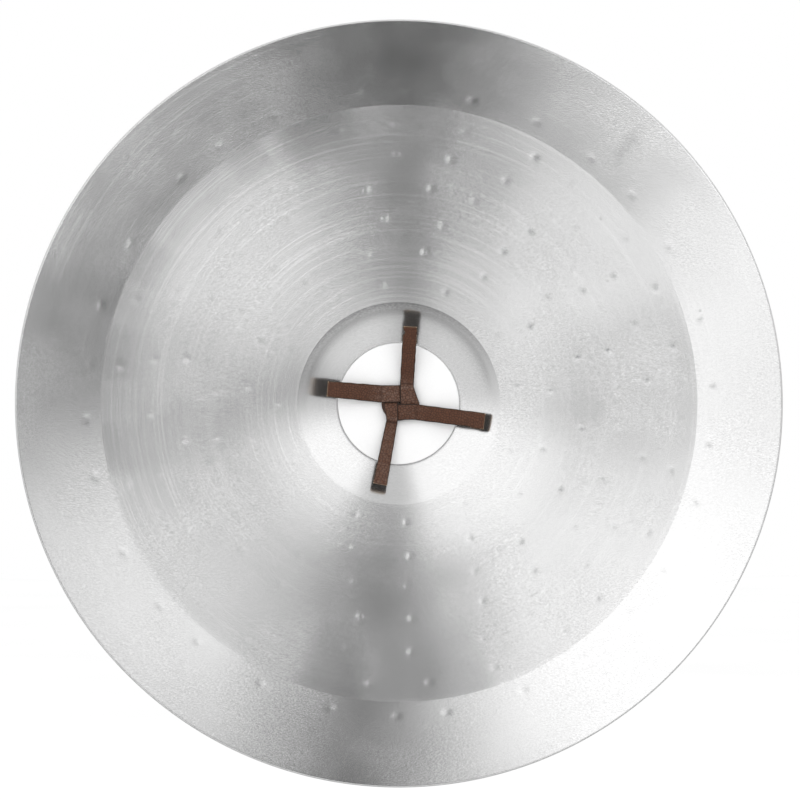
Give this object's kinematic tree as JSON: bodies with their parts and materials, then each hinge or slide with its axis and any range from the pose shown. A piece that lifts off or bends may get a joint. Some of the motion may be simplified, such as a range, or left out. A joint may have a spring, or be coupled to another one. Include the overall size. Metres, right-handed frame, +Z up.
{
  "type": "hand cymbal",
  "caption": "Round hammered metal hand cymbal with a domed bell, a leather hand loop through its centre hole, and its strap tails tied in a crown knot on a white washer.",
  "frame": {"origin": "centre of the bell's crown, on its outer face, where the strap leaves the hole", "axes": "+Y along the plate's axis, out of the bell towards the hand, +Z up, with the hollow side facing -Y"},
  "size_m": [0.3556, 0.1177, 0.3556],
  "materials": {
    "cymbal_metal": "turned in fine circles and hammered, satin",
    "washer_white": "matte white",
    "strap_leather": "dark brown pebbled leather with pale cut edges"
  },
  "bodies": {
    "plate": {"cymbal_plate": "cymbal_metal"},
    "washer": {"knot_washer": "washer_white"},
    "strap": {"strap_knot": "strap_leather"},
    "hand_loop": {"strap_hand_loop": "strap_leather"},
    "tail_top": {"strap_tail_top": "strap_leather"},
    "tail_right": {"strap_tail_right": "strap_leather"},
    "tail_bottom": {"strap_tail_bottom": "strap_leather"},
    "tail_left": {"strap_tail_left": "strap_leather"}
  },
  "joints": [
    {"name": "strap_swivel", "type": "hinge", "parent": "plate", "child": "strap", "pos_m": [0, 0, 0], "axis": [0, 1, 0], "continuous": true},
    {"name": "washer_turn", "type": "hinge", "parent": "plate", "child": "washer", "pos_m": [0, 0, 0], "axis": [0, 1, 0], "continuous": true},
    {"name": "loop_tilt", "type": "hinge", "parent": "strap", "child": "hand_loop", "pos_m": [0, 0.0028, 0], "axis": [0, 0, 1], "range_deg": [-65, 65]},
    {"name": "tail_top_lift", "type": "hinge", "parent": "strap", "child": "tail_top", "pos_m": [0.00365, -0.00909, 0.00847], "axis": [1, 0, 0], "range_deg": [0, 60], "stiffness_Nm_per_rad": 0.002},
    {"name": "tail_right_lift", "type": "hinge", "parent": "strap", "child": "tail_right", "pos_m": [0.00847, -0.00909, -0.00365], "axis": [0, 0, -1], "range_deg": [0, 60], "stiffness_Nm_per_rad": 0.002},
    {"name": "tail_bottom_lift", "type": "hinge", "parent": "strap", "child": "tail_bottom", "pos_m": [-0.00365, -0.00909, -0.00847], "axis": [-1, 0, 0], "range_deg": [0, 60], "stiffness_Nm_per_rad": 0.002},
    {"name": "tail_left_lift", "type": "hinge", "parent": "strap", "child": "tail_left", "pos_m": [-0.00847, -0.00909, 0.00365], "axis": [0, 0, 1], "range_deg": [0, 60], "stiffness_Nm_per_rad": 0.002}
  ]
}
